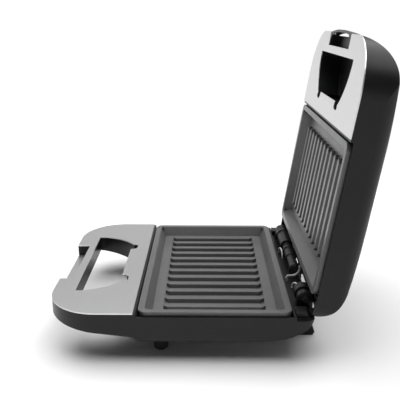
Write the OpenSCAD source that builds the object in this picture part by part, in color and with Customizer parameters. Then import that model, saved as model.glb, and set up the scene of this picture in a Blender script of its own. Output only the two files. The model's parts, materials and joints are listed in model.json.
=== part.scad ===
// Panini press with a ribbed plate in each half, a hinged lid and a flip latch.
// X runs across the press, +Y points to the hinge, +Z is up, the feet stand on Z = 0.
// The lid is drawn where it stands when the press is fully open.

/* [Overall size] */
// Width of the housings over the sides, mm
body_w = 249; // [215:1:300]
// Front to back length of a cooking plate over its rim, mm
plate_l = 142; // [125:1:171]
// Length of the handle end in front of the plate, mm
handle_l = 87.5; // [80:0.5:100]
// Length of the hinge end behind the plate, mm
hinge_l = 22.5; // [21.5:0.5:28]
// Depth of the lower housing below the plate rim, mm
base_d = 32; // [30:0.5:42]
// Depth of the lid housing above its plate rim, mm
lid_d = 36; // [33:0.5:44]
// Height of the lower housing above the table, mm
foot_h = 20; // [16:0.5:26]
// Gap between the two plate rims when the press is shut, mm
rim_gap = 2; // [1.5:0.1:4]

/* [Shape of the housings] */
// Wall thickness of the moulded housings, mm
wall = 2.5; // [2:0.1:3.2]
// Plan radius of the two front corners, mm
front_r = 49; // [35:1:55]
// Plan radius of the two rear corners, mm
rear_r = 14; // [10:1:18]
// Edge radius along the sides of the lower housing, mm
base_edge_r = 10; // [6:0.5:14]
// Edge radius along the sides of the lid, mm
lid_edge_r = 14; // [10:0.5:17]
// Radius of the rounded front and rear ends of the lid, mm
lid_end_r = 34; // [20:1:36]
// Crown radius of the lid along its length, mm
lid_crown_r = 800; // [600:10:1400]
// Height of the housing wall below the plate rim, mm
wall_drop = 4; // [3:0.5:6]

/* [Handle] */
// Depth of the lower handle at its front edge, mm
handle_d = 15; // [14.5:0.5:18]
// Half width of the finger opening at its front, mm
open_hw = 75.5; // [60:0.5:76]
// Radius of the curved sides of the finger opening, mm
open_side_r = 60.8; // [55:0.2:61]
// Distance from the front edge to the finger opening, mm
bar_back = 21.5; // [20:0.5:24]
// Front to back size of the finger opening, mm
open_l = 49; // [40:0.5:50]
// Half width of the latch notch, mm
notch_hw = 47; // [30:0.5:50]
// Front to back size of the latch notch, mm
notch_l = 14; // [12.5:0.1:15]
// Depth of the latch notch, mm
notch_d = 12.4; // [12:0.1:13]
// Thickness of the steel trim sheets, mm
trim_t = 1; // [0.8:0.1:1.2]

/* [Cooking plates] */
// Width of the flat rim, mm
rim_w = 5.8; // [4:0.2:7]
// Depth of the cooking pan, mm
pan_d = 10.4; // [8:0.2:11]
// Run of the sloping pan wall, mm
pan_slope = 5.9; // [3:0.2:7]
// Thickness of the pan floor, mm
plate_t = 3; // [2.5:0.1:3.5]
// Number of ribs on each plate
rib_n = 12; // [8:1:13]
// Rib spacing, mm
rib_pitch = 17; // [14:0.2:17.2]
// Rib height, mm
rib_h = 3.8; // [2.5:0.1:5]
// Rib width at the foot, mm
rib_foot = 9; // [6:0.2:10]
// Rib width at the top, mm
rib_top = 6.4; // [3:0.2:6.6]
// Rib length, mm
rib_l = 98; // [80:1:104]

/* [Hinge and latch] */
// Angle of the lid when fully open, degrees
open_a = 99; // [90:1:99]
// Distance of the hinge axis behind the plate rim, mm
axis_back = 14.5; // [14:0.1:15]
// Radius of the hinge barrel, mm
barrel_r = 8.5; // [7.5:0.1:8.7]
// Radius of the rounded hinge bracket, mm
bracket_r = 7.5; // [6.5:0.1:8]
// Radius of the hinge pins, mm
pin_r = 2.5; // [2:0.1:3]
// Running clearance between a pin and its bore, mm
pin_clear = 0.08; // [0.05:0.01:0.1]
// Thickness of the bowed latch, mm
latch_t = 2.6; // [2:0.1:3]
// Height of the latch, mm
latch_h = 8.5; // [7:0.5:9]
// Bow of the outer edge of the latch, mm
latch_bow = 3; // [1:0.5:4]
// Side clearance of the latch in its notch, mm
latch_clear = 0.8; // [0.5:0.1:1.5]
// Radius of the latch pin, mm
latch_pin_r = 1; // [0.9:0.05:1.1]

/* [Feet] */
// Radius of a front foot at its top, mm
foot_r = 10.5; // [8:0.5:12]
// Radius of a front foot at the table, mm
foot_tip_r = 7; // [5:0.5:8]
// Thickness of the pads under the rear feet, mm
pad_t = 2.4; // [1.5:0.1:4]

/* [Hidden] */
$fn = 96;
hw = body_w / 2;                          // half width
y_rim = plate_l / 2;                      // rim edge toward the hinge
y_f = -y_rim - handle_l;                  // front edge of the handles
y_r = y_rim + hinge_l;                    // rear end of the housings
rim_z = foot_h + base_d;                  // height of the lower rim
plate_w = body_w - 7;                     // width of the plate over its rim
hinge_y = y_rim + axis_back;
hinge_z = rim_z + rim_gap;
bay_f = -y_rim - 0.8;                     // front of the plate bay
bay_r = y_rim + 1.2;                      // rear of the plate bay
trim_r = -y_rim - 4;                      // rear edge of the trim sheets
bar_y = y_f + bar_back;                   // front edge of the finger opening
base_deck = 7.5;                          // depth of the lower hinge deck
lid_deck = 10;                            // depth of the lid hinge deck
screw_r = 2;
screw_clear = 0.1;
boss_x = plate_w / 2 - 14;
boss_y = y_rim - 13;
tube_r = 3.2;                             // heater tube
tube_y = y_rim - 33;
tube_w = pan_d + plate_t + tube_r;        // depth of the heater axis
tray_w = tube_w + tube_r + 2;             // depth of the tray floor
tray_t = 0.8;
bracket_x = 90;                           // inner face of a hinge bracket
bracket_t = 7;
knuckle_x = 76;
knuckle_t = 10;
drum_x = 28;                              // near end of the hinge drum
drum_wide = 42;                           // where the drum widens toward its far end
drum_r = 5.2;                             // radius of its slim part
latch_y = y_f + 1.6;                      // latch pin
latch_w = trim_t + latch_pin_r + 0.1;
latch_w0 = 0.6;                           // latch edge below the trim plane
notch_w = latch_w0 + latch_h + 0.8;       // depth of the notch in the lid
latch_r = (pow(notch_hw - 1, 2) + latch_bow * latch_bow) / (2 * latch_bow);
lens_y = -y_rim + 17;
pad_y0 = y_rim + 0.5;
pad_y1 = y_r + 8.5;
rear_x0 = 46;
rear_x1 = 68;
cover_hw = 78;
cover_y0 = -y_rim + 10;
cover_y1 = 15;
dome_y = -plate_l / 5;
// the origin is the middle of the open press on the table
back_y = hinge_y + cos(open_a) * (dome_y - hinge_y) + sin(open_a) * (lid_d - lid_crown_r)
         + lid_crown_r;
mid_y = (y_f + back_y) / 2;

// ---- placing: shapes are drawn rim up at zero, depth along +Z ----
module centred() { translate([0, -mid_y, 0]) children(); }
module rim_up() { translate([0, 0, rim_z]) mirror([0, 0, 1]) children(); }
module in_base() { centred() rim_up() children(); }
module in_lid()
    centred() translate([0, hinge_y, hinge_z]) rotate([-open_a, 0, 0])
        translate([0, -hinge_y, 0]) children();
module both_sides() { children(); mirror([1, 0, 0]) children(); }
module along_x(w) { rotate([90, 0, 90]) linear_extrude(w, center = true) children(); }
module along_y(l) { rotate([90, 0, 0]) linear_extrude(l, center = true) children(); }
module slab(x, y0, y1, z0, z1) { translate([-x, y0, z0]) cube([2 * x, y1 - y0, z1 - z0]); }
module four_corners(x, y)
    for (i = [-1, 1], j = [-1, 1]) translate([i * x, j * y, 0]) children();

// rectangle with round corners, centred
module round_rect(w, l, r) {
    square([w - 2 * r, l], center = true);
    square([w, l - 2 * r], center = true);
    for (i = [-1, 1], j = [-1, 1]) translate([i * (w / 2 - r), j * (l / 2 - r)]) circle(r);
}

// plan outline of a housing, drawn in by a margin
module plan(m = 0) {
    x = hw - m;
    rf = front_r - m;
    rr = max(rear_r - m, 1);
    translate([-x, y_f + m + rf]) square([2 * x, y_r - y_f - 2 * m - rf - rr]);
    translate([-x + rf, y_f + m]) square([2 * (x - rf), rf + 1]);
    translate([-x + rr, y_r - m - rr - 1]) square([2 * (x - rr), rr + 1]);
    for (i = [-1, 1]) {
        translate([i * (x - rf), y_f + m + rf]) circle(rf);
        translate([i * (x - rr), y_r - m - rr]) circle(rr);
    }
}

// rounded cross section of a housing of depth d
module section(d, r, m = 0) {
    x = hw - m;
    k = r - m;
    translate([-x, -30]) square([2 * x, d - m - k + 30]);
    translate([-x + k, -30]) square([2 * (x - k), d - m + 30]);
    for (i = [-1, 1]) translate([i * (x - k), d - m - k]) circle(k);
}

// side profile of the lid: a crowned top running tangent into round front and rear ends
crown_w = lid_d - lid_crown_r;
function end_w(y) = crown_w + sqrt(pow(lid_crown_r - lid_end_r, 2) - pow(y - dome_y, 2));
function touch_y(y) = dome_y + (y - dome_y) * lid_crown_r / (lid_crown_r - lid_end_r);
module lid_side(m = 0) {
    r = lid_end_r - m;
    yf = y_f + lid_end_r;
    yr = y_r - lid_end_r;
    intersection() {
        translate([dome_y, crown_w]) circle(lid_crown_r - m, $fn = 720);
        translate([touch_y(yf), -30]) square([touch_y(yr) - touch_y(yf), 90]);
    }
    for (y = [yf, yr]) translate([y, end_w(y)]) circle(r);
    translate([y_f + m, -30]) square([lid_end_r, end_w(yf) + 30]);
    translate([yr - m, -30]) square([lid_end_r, end_w(yr) + 30]);
}

// side profile of the base: shallow handle, full depth body, rounded rear end
tail_r = 19;
tail_y = y_r - tail_r;
belly_y = y_rim - 43;
belly_r = (pow(tail_y - belly_y, 2) + base_d * base_d - tail_r * tail_r)
          / (2 * (base_d - tail_r));
tail_k = (tail_y - belly_y) / (belly_r - tail_r);
tail_tan = tail_y + tail_r * tail_k;
module base_side(m = 0) {
    foot_r0 = 5;
    translate([y_f + m, -5]) square([50, handle_d - foot_r0 + 5]);
    translate([y_f + foot_r0 + m, handle_d - foot_r0 - m]) circle(foot_r0 - m / 2);
    polygon([[y_f + foot_r0, -5], [y_f + foot_r0, handle_d - m], [bay_f - 8, handle_d + 8.5 - m],
             [bay_f - 3, handle_d + 10 - m], [bay_f + 1 + m, base_d - 3], [bay_f + 4 + m, base_d - m],
             [belly_y, base_d - m], [belly_y, -5]]);
    intersection() {
        translate([belly_y, base_d - belly_r]) circle(belly_r - m, $fn = 360);
        translate([belly_y - 1, -5]) square([tail_tan - belly_y + 1, 80]);
    }
    translate([tail_y, 0]) circle(tail_r - m);
    translate([tail_y, -5]) square([tail_r - m, 5]);
}

module lid_body(m = 0)
    intersection() {
        linear_extrude(80, center = true) plan(m);
        along_x(400) lid_side(m);
        along_y(600) section(lid_d, lid_edge_r, m);
    }
module base_body(m = 0)
    intersection() {
        linear_extrude(80, center = true) plan(m);
        along_x(400) base_side(m);
        along_y(600) section(base_d, base_edge_r, m);
    }

// finger opening with curved sides, drawn out by a margin
module finger_opening(g = 0)
    intersection() {
        translate([-open_hw - g, bar_y - g]) square([2 * (open_hw + g), open_l - 2.5 + 2 * g]);
        for (i = [0, 1]) mirror([i, 0]) intersection() {
            translate([open_hw + 0.9 - open_side_r, bar_y - 5.3]) circle(open_side_r + g);
            translate([0, bar_y - g]) square([100, open_l + 2 * g]);
        }
    }
// relief cuts at both ends of the folded flange
module reliefs()
    for (i = [-1, 1]) translate([i * 45, bar_y + open_l - 3]) round_rect(14, 5.6, 2.7);
module notch_plan(g = 0)
    translate([-notch_hw - g, y_f - 20]) square([2 * (notch_hw + g), notch_l + 20 + g]);

// hollow inside of a handle, leaving walls round the opening and the notch
module handle_hollow()
    difference() {
        translate([-hw, y_f]) square([body_w, bay_f - 2 * wall - y_f]);
        finger_opening(wall);
        translate([-open_hw - wall, y_f]) square([2 * (open_hw + wall), bar_back + 4]);
        translate([-54, bar_y + open_l - 8]) square([108, 12]);
    }

// shared cooking plate: pan, rim, skirt, ribs and screw bosses
module grill_plate() {
    module rim(w, l, z) { linear_extrude(z) round_rect(w, l, 8); }
    iw = plate_w - 2 * rim_w;
    il = plate_l - 2 * rim_w;
    k = pan_slope / pan_d;
    skirt = 7;
    difference() {
        union() {
            rim(plate_w, plate_l, skirt);
            linear_extrude(pan_d + plate_t) round_rect(iw - 2, il - 2, 6);
            four_corners(boss_x, boss_y) cylinder(h = tray_w, r = 4.5);
        }
        // sloping pan
        intersection() {
            along_y(l = plate_l) polygon([[-iw / 2 - k, -1], [iw / 2 + k, -1],
                [iw / 2 - pan_slope, pan_d], [-iw / 2 + pan_slope, pan_d]]);
            along_x(w = plate_w) polygon([[-il / 2 - k, -1], [il / 2 + k, -1],
                [il / 2 - pan_slope, pan_d], [-il / 2 + pan_slope, pan_d]]);
            linear_extrude(60, center = true) round_rect(iw, il, 5);
        }
        // hollow between the skirt and the pan
        translate([0, 0, 3]) linear_extrude(skirt) difference() {
            round_rect(plate_w - 5, plate_l - 5, 5.5);
            round_rect(iw - 2, il - 2, 6);
        }
        four_corners(boss_x, boss_y)
            translate([0, 0, pan_d + plate_t]) cylinder(h = 20, r = screw_r + screw_clear);
    }
    // ribs with pointed ends
    intersection() {
        along_y(l = rib_l) for (i = [0 : rib_n - 1])
            translate([(i - (rib_n - 1) / 2) * rib_pitch, 0])
                polygon([[-rib_foot / 2, pan_d + 0.2], [-rib_top / 2, pan_d - rib_h],
                         [rib_top / 2, pan_d - rib_h], [rib_foot / 2, pan_d + 0.2]]);
        linear_extrude(40) for (i = [0 : rib_n - 1])
            translate([(i - (rib_n - 1) / 2) * rib_pitch, 0])
                polygon([[0, -rib_l / 2], [rib_foot / 2, -rib_l / 2 + 5],
                         [rib_foot / 2, rib_l / 2 - 5], [0, rib_l / 2],
                         [-rib_foot / 2, rib_l / 2 - 5], [-rib_foot / 2, -rib_l / 2 + 5]]);
    }
}

// U-shaped tubular heater lying on the back of the plate
module heater() {
    bend_x = -plate_w / 2 + tube_y + 17;
    leg = boss_x - 29 - bend_x;
    color("silver") {
        for (j = [-1, 1]) translate([bend_x, j * tube_y, tube_w]) rotate([0, 90, 0]) {
            cylinder(h = leg, r = tube_r);
            translate([0, 0, leg - 1]) cylinder(h = 12, r = 1.3);
        }
        translate([bend_x, 0, tube_w]) rotate([0, 0, 90]) rotate_extrude(angle = 180)
            translate([tube_y, 0]) circle(tube_r, $fn = 48);
    }
}

// shallow sheet tray behind the heater
module tray() {
    w = plate_w - 14;
    l = plate_l - 14;
    top = pan_d + plate_t + 1;
    difference() {
        translate([0, 0, top]) linear_extrude(tray_w + tray_t - top) round_rect(w, l, 6);
        translate([0, 0, top - 1]) linear_extrude(tray_w - top + 1)
            round_rect(w - 2 * tray_t, l - 2 * tray_t, 5.2);
        four_corners(boss_x, boss_y) cylinder(h = 60, r = screw_r + screw_clear);
        // wire outlet
        translate([boss_x - 13, 0, 0]) cylinder(h = 60, r = 5);
    }
}

// screw from the housing through the tray into a plate boss
module plate_screws(head_w)
    four_corners(boss_x, boss_y) {
        translate([0, 0, pan_d + plate_t + 3]) cylinder(h = head_w - pan_d - plate_t - 2, r = screw_r);
        translate([0, 0, head_w]) cylinder(h = 2.4, r = 3.6);
    }

module screw_posts(seat, top)
    four_corners(boss_x, boss_y) translate([0, 0, seat]) cylinder(h = top - seat, r = 6);
module screw_bores(seat, head_w)
    four_corners(boss_x, boss_y) {
        translate([0, 0, seat - 1]) cylinder(h = 60, r = screw_r + screw_clear);
        translate([0, 0, head_w]) cylinder(h = 40, r = 4.3);
    }
seat_w = tray_w + tray_t;
head_w = seat_w + 1.2;

// steel sheet over a handle, with a folded flange at the finger opening
module handle_trim() {
    difference() {
        linear_extrude(trim_t) difference() {
            intersection() {
                plan(0);
                translate([-hw, y_f]) square([body_w, trim_r - y_f]);
            }
            finger_opening();
            reliefs();
            notch_plan();
        }
    }
    translate([-37.5, bar_y + open_l - 3.6, 0]) cube([75, 1.3, trim_t]);
    translate([-37.5, bar_y + open_l - 2.6, 0]) rotate([-95, 0, 0])
        translate([0, -trim_t, -5]) cube([75, trim_t, 5]);
}

// ---- base nodes ----
module base_housing()
    color("dimgray") in_base() difference() {
        union() {
            difference() {
                base_body();
                // hollow under the plate and under the hinge deck
                difference() {
                    base_body(wall);
                    slab(300, -400, bay_f, -50, 90);
                    slab(300, bay_r, 400, -50, base_deck + wall);
                }
                intersection() {
                    base_body(wall);
                    translate([0, 0, -10]) linear_extrude(80) handle_hollow();
                }
            }
            // screw posts and seat for the bottom cover
            intersection() {
                base_body(0.2);
                union() {
                    screw_posts(seat_w, 60);
                    translate([0, 0, base_d - 5])
                        slab(cover_hw + 4, cover_y0 - 4, cover_y1 + 4, 0, 5);
                }
            }
        }
        // top edges
        slab(300, -400, trim_r + 2.5, -50, trim_t);
        slab(300, trim_r + 2.4, bay_r + wall, -50, wall_drop);
        difference() {
            slab(300, bay_r + wall - 0.1, 400, -50, base_deck);
            // ledge beside each bracket
            both_sides() translate([bracket_x + bracket_t + 8, bay_r + wall, 1.6])
                cube([12.5, hinge_y - bay_r - wall - 0.4, 20]);
        }
        translate([0, 0, -20]) linear_extrude(90) { finger_opening(); reliefs(); }
        translate([0, 0, -20]) linear_extrude(20 + notch_d) notch_plan();
        screw_bores(seat_w, head_w);
        // bottom cover opening and its recess
        slab(cover_hw - 8, cover_y0 + 8, cover_y1 - 8, base_d - 10, base_d + 10);
        slab(cover_hw + 0.2, cover_y0 - 0.2, cover_y1 + 0.2, base_d - 2, base_d + 10);
        cover_holes(0.1);
        // recess beside each bracket
        // hole for the gland
        translate([0, y_r - 30, 15.5]) rotate([-90, 0, 0]) cylinder(h = 60, r = 6);
        both_sides() translate([bracket_x + bracket_t + 3.6, hinge_y, 0]) cylinder(h = 20, r = 1.6);
    }
module cover_holes(g)
    for (i = [-1, 1], y = [cover_y0 + 4, cover_y1 - 4])
        translate([i * (cover_hw - 4), y, base_d - 4.6]) cylinder(h = 10, r = 1.5 + g);
module base_bottom_cover()
    color("dimgray") in_base() difference() {
        slab(cover_hw, cover_y0, cover_y1, base_d - 2, base_d);
        cover_holes(0.1);
        for (i = [-4 : 4]) translate([i * 13 - 3, (cover_y0 + cover_y1) / 2 - 20, base_d - 5])
            cube([6, 40, 10]);
    }
module base_cover_screws()
    color("silver") in_base()
        for (i = [-1, 1], y = [cover_y0 + 4, cover_y1 - 4]) translate([i * (cover_hw - 4), y, 0]) {
            translate([0, 0, base_d - 4.4]) cylinder(h = 4.4, r = 1.5);
            translate([0, 0, base_d]) cylinder(h = 1.4, r = 2.8);
        }
module base_handle_trim() color("lightgray") in_base() handle_trim();
module base_latch_keeper()
    color("gainsboro") in_base() {
        slab(notch_hw - 0.5, y_f + 0.6, y_f + notch_l - 0.2, notch_d - 0.8, notch_d);
        slab(notch_hw - 0.5, y_f + notch_l - 0.8, y_f + notch_l, trim_t + 0.3, notch_d);
    }
module base_grill_plate() color("slategray") in_base() grill_plate();
module base_heating_element() in_base() heater();
module base_reflector_tray() color("gainsboro") in_base() tray();
module base_plate_screws() color("silver") in_base() plate_screws(head_w);
module base_terminal_block()
    color("white") in_base() translate([boss_x - 21, -12, 0]) difference() {
        translate([0, 0, seat_w + 0.6]) cube([22, 26, base_d - wall - seat_w - 0.6]);
        for (k = [0 : 2]) translate([-5, 5 + 8 * k, seat_w + 3]) rotate([0, 90, 0])
            cylinder(h = 40, r = 1.4);
    }
module base_thermal_fuse()
    color("white") in_base() translate([10, 0, pan_d + plate_t + 2.6]) rotate([0, 90, 0]) {
        cylinder(h = 24, r = 2.5, center = true);
        cylinder(h = 46, r = 0.6, center = true);
    }
module front_feet()
    color("black") centred() both_sides() translate([hw - 32.5, -y_rim + 19, 0])
        rotate_extrude() polygon([[0, 0], [foot_tip_r - 1, 0], [foot_tip_r, 1],
            [foot_tip_r + 0.6, foot_h / 2], [foot_r, foot_h - 3], [foot_r, foot_h], [0, foot_h]]);
module rear_block(x0, x1)
    translate([x0, 0, 0]) rotate([90, 0, 90]) linear_extrude(x1 - x0)
        polygon([[pad_y0, pad_t], [pad_y1, pad_t], [pad_y1 - 0.6, pad_t + 3],
                 [pad_y1 - 4, 16], [pad_y1 - 12, 36], [pad_y0 - 4, 36], [pad_y0 - 3, 14]]);
module rear_foot_blocks()
    color("black") centred() both_sides() difference() {
        rear_block(rear_x0, rear_x1);
        rim_up() base_body();
        rim_up() slab(300, 0, 200, -50, base_deck + 4);
    }
module rear_foot_pads()
    color("black") centred() both_sides() translate([(rear_x0 + rear_x1) / 2, (pad_y0 + pad_y1) / 2, 0])
        linear_extrude(pad_t) round_rect(rear_x1 - rear_x0 - 1, pad_y1 - pad_y0 - 1, 3);
module hinge_brackets()
    color("dimgray") centred() both_sides() difference() {
        union() {
            translate([bracket_x, hinge_y, hinge_z]) rotate([0, 90, 0])
                cylinder(h = bracket_t, r = bracket_r);
            translate([bracket_x, hinge_y - bracket_r, rim_z - base_deck])
                cube([bracket_t, 2 * bracket_r, base_deck + rim_gap]);
            translate([bracket_x, hinge_y - 5.5, rim_z - base_deck])
                cube([bracket_t + 7, 11, 2]);
        }
        translate([0, hinge_y, hinge_z]) rotate([0, 90, 0]) cylinder(h = 200, r = pin_r);
        translate([bracket_x + bracket_t + 3.6, hinge_y, 0]) cylinder(h = 200, r = 1.6);
        translate([bracket_x + bracket_t + 0.1, hinge_y - 20, rim_z - base_deck + 2]) cube([20, 40, 5]);
    }
module hinge_bracket_screws()
    color("silver") centred() both_sides()
    translate([bracket_x + bracket_t + 3.6, hinge_y, rim_z - base_deck]) {
        translate([0, 0, -5]) cylinder(h = 7, r = 1.5);
        translate([0, 0, 2]) cylinder(h = 1.2, r = 2.6);
    }
module hinge_pins()
    color("silver") centred() both_sides() translate([0, hinge_y, hinge_z]) rotate([0, 90, 0]) {
        translate([0, 0, knuckle_x - 1]) cylinder(h = bracket_x + bracket_t - knuckle_x + 1, r = pin_r);
        translate([0, 0, bracket_x + bracket_t]) cylinder(h = 1.2, r = pin_r + 0.8);
    }
module hinge_washers()
    color("silver") centred() both_sides() translate([knuckle_x + knuckle_t + 0.3, hinge_y, hinge_z])
        rotate([0, 90, 0]) difference() {
            cylinder(h = bracket_x - knuckle_x - knuckle_t - 0.6, r = 6);
            translate([0, 0, -1]) cylinder(h = 20, r = pin_r + pin_clear);
        }
cable_r = 1.1;
module hinge_cable()
    color("lightgray") centred() translate([34, hinge_y - 4.6, rim_z - base_deck + 6]) {
        // rises from the deck, turns to the rear and climbs beside the drum
        translate([0, -2, -3]) rotate([0, 90, 0]) rotate([0, 0, 180])
            rotate_extrude(angle = 90) translate([3, 0]) circle(cable_r, $fn = 40);
        translate([0, -5, -6]) cylinder(h = 3, r = cable_r);
        translate([0, -2, 0]) rotate([-90, 0, 0]) cylinder(h = 2, r = cable_r);
        translate([0, 0, 8.5]) rotate([90, 0, 90]) rotate([0, 0, -90])
            rotate_extrude(angle = 108) translate([8.5, 0]) circle(cable_r, $fn = 40);
    }
module wire_loop(x, y, r, s, e)
    translate([x, y, rim_z - base_deck]) rotate([0, 0, s]) rotate([90, 0, 0])
        rotate_extrude(angle = e) translate([r, 0]) circle(0.8, $fn = 32);
module hinge_wires()
    color("white") centred() {
        wire_loop(58, hinge_y - 3, 8, 20, 180);
        wire_loop(66, hinge_y + 1, 6.5, -40, 180);
        wire_loop(-38, hinge_y - 7.4, 8.4, 8, 180);
    }
module cord_gland()
    color("black") in_base() translate([0, y_r - 8.5, 15.5]) rotate([-90, 0, 0]) difference() {
        union() {
            translate([0, 0, -3]) cylinder(h = 12, r = 6 - 0.05);
            translate([0, 0, 7]) cylinder(h = 4, r = 7.5);
        }
        translate([0, 0, -5]) cylinder(h = 40, r = 3.2);
    }

// ---- lid nodes ----
module lid_housing()
    color("dimgray") in_lid() difference() {
        union() {
            difference() {
                lid_body();
                difference() {
                    lid_body(wall);
                    slab(300, -400, bay_f, -50, 90);
                    slab(300, bay_r, 400, -50, lid_deck + wall);
                }
                intersection() {
                    lid_body(wall);
                    translate([0, 0, -10]) linear_extrude(80) handle_hollow();
                }
                // recess for the hinge
                intersection() {
                    lid_body(wall);
                    slab(hw, bay_r + wall, 400, -50, lid_deck);
                }
                slab(bracket_x + 15, bay_r + wall, 400, -50, lid_deck);
            }
            intersection() { lid_body(0.2); screw_posts(seat_w, 60); }
        }
        slab(300, -400, trim_r + 2.5, -50, trim_t);
        slab(300, trim_r + 2.4, bay_r + wall, -50, wall_drop);
        slab(300, bay_r + wall - 0.1, 400, -50, 3);
        // finger recess, closed at the back
        translate([0, 0, -20]) linear_extrude(20 + lid_d - 12) { finger_opening(); reliefs(); }
        translate([0, 0, -20]) linear_extrude(20 + notch_w) notch_plan();
        both_sides() translate([knuckle_end, latch_y, latch_w]) rotate([0, 90, 0])
            cylinder(h = notch_hw + 4 - knuckle_end, r = latch_pin_r);
        screw_bores(seat_w, head_w);
        for (i = [-1, 1]) translate([i * 12, lens_y, 20]) cylinder(h = 40, r = 4.1);
    }
module lid_handle_trim() color("lightgray") in_lid() handle_trim();
module lid_grill_plate() color("slategray") in_lid() grill_plate();
module lid_heating_element() in_lid() heater();
module lid_reflector_tray() color("gainsboro") in_lid() tray();
module lid_plate_screws() color("silver") in_lid() plate_screws(head_w);
module lid_screw_plugs()
    color("black") in_lid() for (i = [-1, 1], j = [-1, 1])
        translate([i * boss_x, j * boss_y, head_w + 3]) cylinder(r = 4.2,
            h = crown_w + sqrt(pow(lid_crown_r, 2) - pow(j * boss_y - dome_y, 2)) - head_w - 3.5);
module lid_hinge_barrel()
    color("black") in_lid() difference() {
        union() {
            translate([0, hinge_y, 0]) rotate([0, 90, 0]) {
                for (x = [knuckle_x, -knuckle_x - knuckle_t])
                    translate([0, 0, x]) cylinder(h = knuckle_t, r = barrel_r);
                translate([0, 0, -knuckle_x - 1])
                    cylinder(h = knuckle_x + 1 - drum_wide, r = barrel_r - 1);
                translate([0, 0, -drum_wide - 1]) cylinder(h = drum_x + drum_wide + 1, r = drum_r);
                for (x = [-drum_wide + 12, -8, drum_x - 5])
                    translate([0, 0, x]) cylinder(h = 3, r = drum_r + 0.9);
            }
            for (x = [knuckle_x, drum_x - 12, -30, -knuckle_x - knuckle_t])
                translate([x, hinge_y - 4, 0]) cube([10, 8, lid_deck]);
        }
        both_sides() translate([knuckle_x - 3, hinge_y, 0]) rotate([0, 90, 0])
            cylinder(h = 40, r = pin_r + pin_clear);
    }
module lid_thermostat()
    color("silver") in_lid() translate([20, 0, pan_d + plate_t]) {
        cylinder(h = 5, r = 9);
        for (i = [-1, 1]) translate([i * 5 - 1.5, -4, 4.9]) cube([3, 8, 2.6]);
    }
module lens(x)
    in_lid() translate([x, lens_y, 0]) {
        translate([0, 0, lid_d - wall - 3]) cylinder(h = wall + 2.6, r = 4);
        translate([0, 0, lid_d - wall - 4.5]) cylinder(h = 1.6, r = 5.5);
    }
module power_lens() color("red") lens(-12);
module ready_lens() color("green") lens(12);
module indicator_board()
    color("green") in_lid() {
        translate([-20, lens_y - 8, seat_w + 0.8]) cube([40, 16, 1.6]);
        for (i = [-1, 1]) translate([i * 12, lens_y, seat_w + 2.3])
            cylinder(h = lid_d - wall - 5.1 - seat_w - 2.3, r = 2.4);
    }
module latch_pin()
    color("silver") in_lid() both_sides() translate([knuckle_end + 0.4, latch_y, latch_w])
        rotate([0, 90, 0]) cylinder(h = notch_hw + 3.4 - knuckle_end, r = latch_pin_r);

// ---- latch ----
knuckle_end = notch_hw - 12;               // inner end of a latch knuckle
module latch()
    color("dimgray") in_lid() difference() {
        union() {
            // bowed plate across the front of the notch
            intersection() {
              along_x(200) translate([y_f + lid_end_r, end_w(y_f + lid_end_r)])
                circle(lid_end_r + latch_bow, $fn = 360);
              translate([0, 0, latch_w0]) linear_extrude(latch_h) intersection() {
                difference() {
                    translate([0, y_f + latch_r - latch_bow]) circle(latch_r, $fn = 720);
                    translate([0, y_f + latch_r - latch_bow]) circle(latch_r - latch_t, $fn = 720);
                }
                translate([-notch_hw + latch_clear, y_f - 10])
                    square([2 * (notch_hw - latch_clear), 20]);
              }
            }
            both_sides() translate([knuckle_end, latch_y, latch_w]) rotate([0, 90, 0])
                cylinder(h = notch_hw - latch_clear - knuckle_end, r = latch_pin_r + 0.8);
        }
        both_sides() translate([knuckle_end, latch_y, latch_w]) rotate([0, 90, 0])
            cylinder(h = 50, r = latch_pin_r + pin_clear);
    }

base_housing();
base_bottom_cover();
base_cover_screws();
base_handle_trim();
base_latch_keeper();
base_grill_plate();
base_heating_element();
base_reflector_tray();
base_plate_screws();
base_terminal_block();
base_thermal_fuse();
front_feet();
rear_foot_blocks();
rear_foot_pads();
hinge_brackets();
hinge_bracket_screws();
hinge_pins();
hinge_washers();
hinge_cable();
hinge_wires();
cord_gland();
lid_housing();
lid_handle_trim();
lid_grill_plate();
lid_heating_element();
lid_reflector_tray();
lid_plate_screws();
lid_screw_plugs();
lid_hinge_barrel();
lid_thermostat();
power_lens();
ready_lens();
indicator_board();
latch_pin();
latch();
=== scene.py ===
import json
import math

import bmesh
import bpy
from mathutils import Matrix, Vector


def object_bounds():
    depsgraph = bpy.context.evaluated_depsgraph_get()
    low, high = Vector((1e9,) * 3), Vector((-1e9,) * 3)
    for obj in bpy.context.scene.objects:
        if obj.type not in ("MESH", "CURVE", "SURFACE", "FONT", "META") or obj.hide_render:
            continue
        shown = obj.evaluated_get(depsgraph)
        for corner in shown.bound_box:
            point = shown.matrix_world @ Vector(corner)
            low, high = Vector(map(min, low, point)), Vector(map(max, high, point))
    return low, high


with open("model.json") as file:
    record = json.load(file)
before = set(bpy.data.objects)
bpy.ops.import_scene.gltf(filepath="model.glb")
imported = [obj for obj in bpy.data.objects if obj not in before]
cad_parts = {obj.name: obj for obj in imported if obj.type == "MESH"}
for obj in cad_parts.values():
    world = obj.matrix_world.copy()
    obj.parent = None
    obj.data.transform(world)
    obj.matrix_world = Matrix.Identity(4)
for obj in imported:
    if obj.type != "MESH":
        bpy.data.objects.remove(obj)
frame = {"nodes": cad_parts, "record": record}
cad_lo, cad_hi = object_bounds()
nodes = frame["nodes"]
scene = bpy.context.scene

# shader input sockets of the colour mix node
MIX_FACTOR, MIX_A, MIX_B, MIX_RESULT = 0, 6, 7, 2


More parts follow.
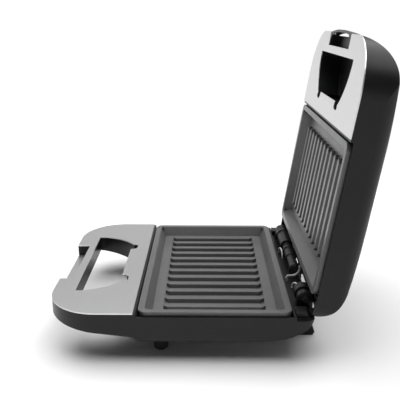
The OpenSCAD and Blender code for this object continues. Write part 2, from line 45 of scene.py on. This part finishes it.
# ---- material helpers ----
class Mat:
    """A node material, with short calls for the nodes that the finishes share."""

    def __init__(self, name):
        self.m = bpy.data.materials.new(name)
        self.m.use_nodes = True
        self.t = self.m.node_tree
        self.b = self.t.nodes["Principled BSDF"]
        self.co = self.t.nodes.new("ShaderNodeTexCoord").outputs["Object"]

    def node(self, kind, **values):
        n = self.t.nodes.new("ShaderNode" + kind)
        for k, v in values.items():
            if hasattr(n, k):
                setattr(n, k, v)
            else:
                n.inputs[k.replace("_", " ")].default_value = v
        return n

    def link(self, a, b):
        self.t.links.new(a, b)

    def noise(self, scale, detail=3.0, rough=0.5, stretch=None):
        n = self.node("TexNoise", Scale=scale, Detail=detail, Roughness=rough)
        src = self.co
        if stretch:
            mp = self.node("Mapping")
            mp.inputs["Scale"].default_value = stretch
            self.link(src, mp.inputs["Vector"])
            src = mp.outputs["Vector"]
        self.link(src, n.inputs["Vector"])
        return n.outputs["Fac"]

    def ramp(self, fac, stops):
        """A grey ramp through the stops, each a position and a value."""
        r = self.node("ValToRGB")
        e = r.color_ramp.elements
        while len(e) < len(stops):
            e.new(0.5)
        for el, (pos, v) in zip(e, stops):
            el.position = pos
            el.color = (v, v, v, 1)
        self.link(fac, r.inputs["Fac"])
        return r.outputs["Color"]

    def mix(self, fac, a, b, mode="MIX"):
        n = self.node("Mix", data_type="RGBA", blend_type=mode)
        for slot, v in ((MIX_FACTOR, fac), (MIX_A, a), (MIX_B, b)):
            sock = n.inputs[slot]
            if isinstance(v, bpy.types.NodeSocket):
                self.link(v, sock)
            elif hasattr(v, "__len__"):
                sock.default_value = (*v, 1)
            else:
                sock.default_value = v
        return n.outputs[MIX_RESULT]

    def math(self, op, a, b):
        n = self.node("Math", operation=op)
        for sock, v in ((n.inputs[0], a), (n.inputs[1], b)):
            if isinstance(v, bpy.types.NodeSocket):
                self.link(v, sock)
            else:
                sock.default_value = v
        return n.outputs[0]

    def rounded(self, radius, samples):
        """The normal as it would be with the edges rounded by a radius in metres."""
        n = self.node("Bevel", samples=samples)
        n.inputs["Radius"].default_value = radius
        return n.outputs["Normal"]

    def edge(self, radius):
        """1 along edges and 0 elsewhere, from the turn between the flat and the rounded normal."""
        normal = self.rounded(radius, 4)
        geo = self.node("NewGeometry")
        dot = self.node("VectorMath", operation="DOT_PRODUCT")
        self.link(normal, dot.inputs[0])
        self.link(geo.outputs["Normal"], dot.inputs[1])
        return self.ramp(dot.outputs["Value"], [(0.75, 1.0), (0.985, 0.0)])

    def bump(self, height, strength, distance, normal=None):
        n = self.node("Bump")
        n.inputs["Strength"].default_value = strength
        n.inputs["Distance"].default_value = distance
        self.link(height, n.inputs["Height"])
        if normal is not None:
            self.link(normal, n.inputs["Normal"])
        return n.outputs["Normal"]

    def out(self, color, rough, normal=None, **uniform):
        self.link(color, self.b.inputs["Base Color"])
        self.link(rough, self.b.inputs["Roughness"])
        if normal is not None:
            self.link(normal, self.b.inputs["Normal"])
        for k, v in uniform.items():
            self.b.inputs[k.replace("_", " ")].default_value = v
        return self.m


def moulded(name, dark, light, worn, rough, grain=2600.0):
    """Moulded plastic or rubber: fine spark-eroded grain, faint cloudiness, slightly polished edges."""
    m = Mat(name)
    edge = m.edge(0.0011)
    base = m.mix(m.ramp(m.noise(14, 4, 0.55), [(0.35, 0.0), (0.65, 1.0)]), dark, light)
    rub = m.math("MULTIPLY", edge, m.ramp(m.noise(90, 4, 0.7), [(0.4, 0.15), (0.7, 0.6)]))
    base = m.mix(rub, base, worn)
    r = m.ramp(m.noise(45, 5, 0.6), [(0.3, rough - 0.045), (0.7, rough + 0.045)])
    r = m.mix(m.math("MULTIPLY", edge, 0.5), r, (rough - 0.12,) * 3)
    n = m.bump(m.noise(grain, 2, 0.5), 0.22, 0.00004, m.rounded(0.0007, 6))
    n = m.bump(m.noise(38, 2, 0.5), 0.12, 0.00025, n)
    return m.out(base, r, n, IOR=1.48, Specular_IOR_Level=0.3)


def brushed(name, dark, light, rough, along=(1.0, 60.0, 60.0)):
    """Metal with a fine satin grain, along X unless the stretch says otherwise."""
    m = Mat(name)
    edge = m.edge(0.0008)
    streak = m.noise(75, 5, 0.65, along)
    fine = m.noise(340, 3, 0.6, along)
    s = m.mix(0.5, streak, fine)
    cloud = m.noise(9, 3, 0.5)
    base = m.mix(m.ramp(s, [(0.3, 0.0), (0.7, 1.0)]), dark, light)
    base = m.mix(m.ramp(cloud, [(0.3, 0.0), (0.7, 0.06)]), base, dark)
    # painted highlight: all edges are lightened evenly beyond the light tone of the grain
    base = m.mix(m.math("MULTIPLY", edge, 0.5), base, tuple(min(1.0, c * 1.15) for c in light))
    r = m.ramp(s, [(0.3, rough - 0.035), (0.7, rough + 0.045)])
    n = m.bump(s, 0.05, 0.00003, m.rounded(0.0004, 4))
    return m.out(base, r, n, Metallic=1.0)


def coated(name):
    """Non-stick coating: dark grey, satin, with fine light speckle and a slight orange peel."""
    m = Mat(name)
    edge = m.edge(0.0010)
    speck = m.ramp(m.noise(2300, 2, 0.5), [(0.60, 0.0), (0.68, 1.0)])
    cloud = m.noise(16, 4, 0.6)
    base = m.mix(m.ramp(cloud, [(0.3, 0.0), (0.7, 1.0)]),
                 (0.078, 0.078, 0.080), (0.098, 0.098, 0.100))
    base = m.mix(m.math("MULTIPLY", speck, 0.55), base, (0.26, 0.26, 0.265))
    worn = m.math("MULTIPLY", edge, m.ramp(m.noise(70, 5, 0.7), [(0.45, 0.05), (0.7, 0.5)]))
    base = m.mix(worn, base, (0.22, 0.22, 0.22))
    # painted shade: ambient occlusion darkens the grooves and corners almost to black, standing in for
    # their shade
    painted_crease_shade = m.node("AmbientOcclusion", samples=6)
    painted_crease_shade.inputs["Distance"].default_value = 0.012
    base = m.mix(m.ramp(painted_crease_shade.outputs["AO"], [(0.35, 1.0), (0.85, 0.0)]), base, (0.02, 0.02, 0.0205))
    r = m.ramp(m.noise(60, 4, 0.6), [(0.3, 0.30), (0.7, 0.37)])
    n = m.bump(m.noise(900, 2, 0.5), 0.16, 0.00005, m.rounded(0.0007, 6))
    n = m.bump(m.noise(2300, 2, 0.5), 0.10, 0.00003, n)
    return m.out(base, r, n, IOR=1.6)


def lens(name, deep, bright):
    """Indicator lens: clear-coated coloured plastic."""
    m = Mat(name)
    base = m.mix(m.ramp(m.noise(220, 2, 0.5), [(0.3, 0.0), (0.7, 1.0)]), deep, bright)
    r = m.ramp(m.noise(300, 3, 0.6), [(0.3, 0.08), (0.7, 0.16)])
    n = m.bump(m.noise(160, 2, 0.5), 0.08, 0.0001, m.rounded(0.0005, 4))
    return m.out(base, r, n, IOR=1.49, Coat_Weight=0.5, Coat_Roughness=0.05)


def woven(name, dark, light):
    """Braided sleeve: two families of crossing threads."""
    m = Mat(name)
    turned = m.node("Mapping")
    turned.inputs["Rotation"].default_value = (0.0, math.pi / 2, 0.9)
    m.link(m.co, turned.inputs["Vector"])
    threads = []
    for src in (m.co, turned.outputs["Vector"]):
        wave = m.node("TexWave", Scale=520.0, Distortion=0.6, Detail=1.0)
        wave.bands_direction = "DIAGONAL"
        m.link(src, wave.inputs["Vector"])
        threads.append(wave.outputs["Color"])
    w = m.mix(1.0, *threads, "MULTIPLY")
    base = m.mix(m.ramp(w, [(0.05, 0.0), (0.6, 1.0)]), dark, light)
    base = m.mix(m.ramp(m.noise(60, 4, 0.6), [(0.4, 0.0), (0.8, 0.3)]), base, dark)
    r = m.ramp(m.noise(400, 2, 0.5), [(0.3, 0.62), (0.7, 0.78)])
    n = m.bump(w, 0.5, 0.00015)
    return m.out(base, r, n, Sheen_Weight=0.2)


def grey(v):
    return (v, v, v)


LENGTHWISE, ROUND = (30.0, 1.0, 30.0), (8.0, 8.0, 8.0)
MATS = {
    "black_plastic": moulded("m_black_plastic", (0.0045, 0.0045, 0.005), (0.0075, 0.0075, 0.008),
                             (0.03, 0.03, 0.031), 0.36),
    "steel_trim": brushed("m_steel_trim", (0.66, 0.66, 0.665), grey(0.75), 0.33),
    "cook_coating": coated("m_cook_coating"),
    "inner_steel": brushed("m_inner_steel", grey(0.50), (0.68, 0.68, 0.67), 0.34, LENGTHWISE),
    "heater_metal": brushed("m_heater_metal", (0.20, 0.19, 0.18), (0.36, 0.34, 0.33), 0.5, ROUND),
    "screw_steel": brushed("m_screw_steel", grey(0.52), grey(0.72), 0.32, grey(20.0)),
    "pin_steel": brushed("m_pin_steel", grey(0.60), grey(0.80), 0.2, (60.0, 1.0, 1.0)),
    "foot_rubber": moulded("m_foot_rubber", grey(0.014), grey(0.022), grey(0.05), 0.62, 1500.0),
    "terminal_plastic": moulded("m_terminal_plastic", (0.62, 0.60, 0.55), (0.74, 0.72, 0.68),
                                (0.8, 0.79, 0.76), 0.45),
    "cable_sleeve": woven("m_cable_sleeve", grey(0.22), (0.62, 0.62, 0.61)),
    "wire_sleeve": woven("m_wire_sleeve", (0.45, 0.45, 0.43), (0.85, 0.85, 0.83)),
    "red_lens": lens("m_red_lens", (0.35, 0.01, 0.01), (0.60, 0.03, 0.02)),
    "green_lens": lens("m_green_lens", (0.01, 0.22, 0.05), (0.03, 0.42, 0.10)),
    "board": moulded("m_board", (0.02, 0.14, 0.05), (0.03, 0.2, 0.08), (0.2, 0.3, 0.2), 0.4),
}
# the hinge pins and bracket screws are blackened
BLACKENED = ("hinge_pins", "hinge_bracket_screws")
DARK = brushed("m_blackened", (0.035, 0.035, 0.036), (0.075, 0.075, 0.077), 0.4, (40.0, 8.0, 8.0))

slot_of = {s["node"]: s["material_slot"] for s in frame["record"]["subparts"]}
for name, o in nodes.items():
    mat = DARK if name in BLACKENED else MATS[slot_of[name]]
    if not o.data.materials:
        o.data.materials.append(mat)
    for i in range(len(o.data.materials)):
        o.data.materials[i] = mat

# ---- floor, light and camera ----
FLOOR_CELLS, FLOOR_SIZE, FLOOR_GAP = 40, 60.0, 0.0002
steps = [(i / FLOOR_CELLS - 0.5) * FLOOR_SIZE for i in range(FLOOR_CELLS + 1)]
bm = bmesh.new()
grid = [[bm.verts.new((x, y, 0.0)) for y in steps] for x in steps]
for i in range(FLOOR_CELLS):
    for j in range(FLOOR_CELLS):
        bm.faces.new((grid[i][j], grid[i + 1][j], grid[i + 1][j + 1], grid[i][j + 1]))
me = bpy.data.meshes.new("floor")
bm.to_mesh(me)
bm.free()
floor = bpy.data.objects.new("floor", me)
scene.collection.objects.link(floor)
floor.location = (0, 0, cad_lo.z - FLOOR_GAP)
fm = Mat("m_floor")
patches = fm.ramp(fm.noise(3, 2, 0.5), [(0.3, 0.0), (0.7, 1.0)])
fm.out(fm.mix(patches, grey(0.86), grey(0.88)),
       fm.ramp(fm.noise(6, 2, 0.5), [(0.3, 0.60), (0.7, 0.66)]))
# the floor glows white further out, where the lamp doesn't reach
GLOW_START, GLOW_FULL = 0.6, 1.25
dist = fm.node("VectorMath", operation="LENGTH")
fm.link(fm.co, dist.inputs[0])
far = fm.node("MapRange", interpolation_type="SMOOTHSTEP")
far.inputs["From Min"].default_value = GLOW_START
far.inputs["From Max"].default_value = GLOW_FULL
fm.link(dist.outputs["Value"], far.inputs["Value"])
glow = fm.node("Emission")
glow.inputs["Color"].default_value = (1.0, 1.0, 1.0, 1)
glow.inputs["Strength"].default_value = 1.0
both = fm.node("MixShader")
fm.link(far.outputs["Result"], both.inputs[0])
fm.link(fm.b.outputs[0], both.inputs[1])
fm.link(glow.outputs[0], both.inputs[2])
fm.link(both.outputs[0], fm.t.nodes["Material Output"].inputs["Surface"])
floor.data.materials.append(fm.m)

world = bpy.data.worlds.new("studio")
scene.world = world
world.use_nodes = True
wt = world.node_tree
bg = wt.nodes["Background"]
bg.inputs["Color"].default_value = (1.0, 1.0, 1.0, 1)
# a pale horizon with a dimmer ceiling, and dim sides towards +X and -Y
wc = wt.nodes.new("ShaderNodeTexCoord")
ws = wt.nodes.new("ShaderNodeSeparateXYZ")
wt.links.new(wc.outputs["Generated"], ws.inputs[0])


def wramp(src, stops):
    n = wt.nodes.new("ShaderNodeValToRGB")
    n.color_ramp.interpolation = "EASE"
    e = n.color_ramp.elements
    while len(e) < len(stops):
        e.new(0.5)
    for el, (pos, v) in zip(e, stops):
        el.position, el.color = pos, (v, v, v, 1)
    wt.links.new(src, n.inputs[0])
    return n.outputs[0]


def wmath(op, a, b, c=0.5):
    n = wt.nodes.new("ShaderNodeMath")
    n.operation = op
    for sock, v in zip(n.inputs, (a, b, c)):
        if isinstance(v, bpy.types.NodeSocket):
            wt.links.new(v, sock)
        else:
            sock.default_value = v
    return n.outputs[0]


WORLD_STRENGTH = 1.05
rise = wramp(ws.outputs["Z"], [(0.0, 1.0), (0.2, 1.0), (0.42, 0.16), (0.8, 0.30)])
# the ramps read a direction of -1 to 1 as 0 to 1
side = wramp(wmath("MULTIPLY_ADD", ws.outputs["X"], 0.5), [(0.0, 1.0), (0.55, 1.0), (0.9, 0.16)])
left = wramp(wmath("MULTIPLY_ADD", ws.outputs["Y"], 0.5), [(0.05, 0.25), (0.5, 1.0), (1.0, 1.0)])
horizon = wramp(ws.outputs["Z"], [(0.045, 1.0), (0.07, 0.0)])
around = wmath("MAXIMUM", wmath("MULTIPLY", side, left), horizon)
strength = wmath("MULTIPLY", wmath("MULTIPLY", rise, around), WORLD_STRENGTH)
wt.links.new(strength, bg.inputs["Strength"])

LAMP_AT, LAMP_SIZE, LAMP_POWER = Vector((-0.15, 0.0, 1.7)), 2.6, 62
lamp_data = bpy.data.lights.new("top", "AREA")
lamp_data.shape = "RECTANGLE"
lamp_data.size, lamp_data.size_y, lamp_data.energy = LAMP_SIZE, LAMP_SIZE, LAMP_POWER
lamp = bpy.data.objects.new("top", lamp_data)
scene.collection.objects.link(lamp)
lamp.location = LAMP_AT
lamp.rotation_mode = "QUATERNION"
lamp.rotation_quaternion = (-LAMP_AT).to_track_quat("-Z", "Y")

cam_data = bpy.data.cameras.new("camera")
cam = bpy.data.objects.new("camera", cam_data)
scene.collection.objects.link(cam)
cam_data.sensor_width = cam_data.sensor_height = 36.0
cam_data.lens = 54.9
cam.location = (0.6232, -0.0034, 0.3099)
fwd = Vector((-0.9576, -0.0101, -0.2880)).normalized()
right = Vector((-0.01056, 0.99994, 0.0)).normalized()
right = (right - fwd * right.dot(fwd)).normalized()
up = right.cross(fwd)
cam.matrix_world = Matrix.Translation(cam.location) @ Matrix((right, up, -fwd)).transposed().to_4x4()
cam_data.clip_start, cam_data.clip_end = 0.01, 30
scene.camera = cam
scene.view_settings.view_transform = "Standard"
scene.view_settings.look = "None"
